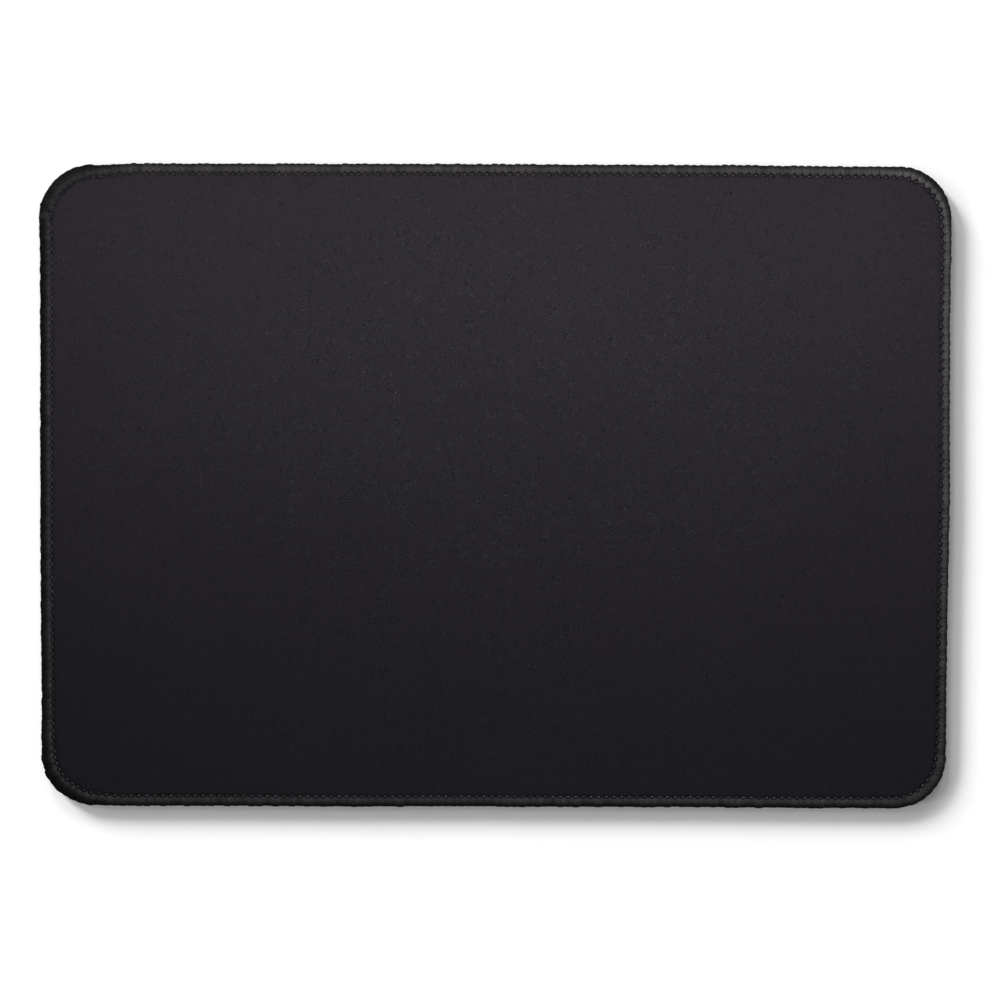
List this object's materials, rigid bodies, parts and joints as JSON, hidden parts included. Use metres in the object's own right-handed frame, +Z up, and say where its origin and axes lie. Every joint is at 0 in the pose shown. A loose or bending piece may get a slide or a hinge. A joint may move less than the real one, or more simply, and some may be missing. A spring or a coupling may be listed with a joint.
{
  "type": "mouse pad",
  "caption": "Rectangular cloth mouse pad with rounded corners: woven face bonded to a foam-rubber base, the cut edge wrapped by an overlock seam.",
  "frame": {"origin": "middle of the underside, on the surface that the pad lies on", "axes": "+X along the long side, +Y along the short side towards the far edge, +Z up out of the cloth face"},
  "size_m": [0.34, 0.24, 0.0033],
  "materials": {
    "foam_rubber": "black foamed natural rubber with a fine embossed grip underneath",
    "hot_melt_film": "thin cloudy adhesive film",
    "woven_cloth": "matt black close-woven polyester with a faint violet cast",
    "spun_thread": "matt dark grey spun polyester yarn"
  },
  "bodies": {
    "root": {"rubber_base": "foam_rubber", "bonding_film": "hot_melt_film", "top_cloth": "woven_cloth", "needle_thread": "spun_thread", "upper_looper_thread": "spun_thread", "lower_looper_thread": "spun_thread"}
  },
  "joints": []
}
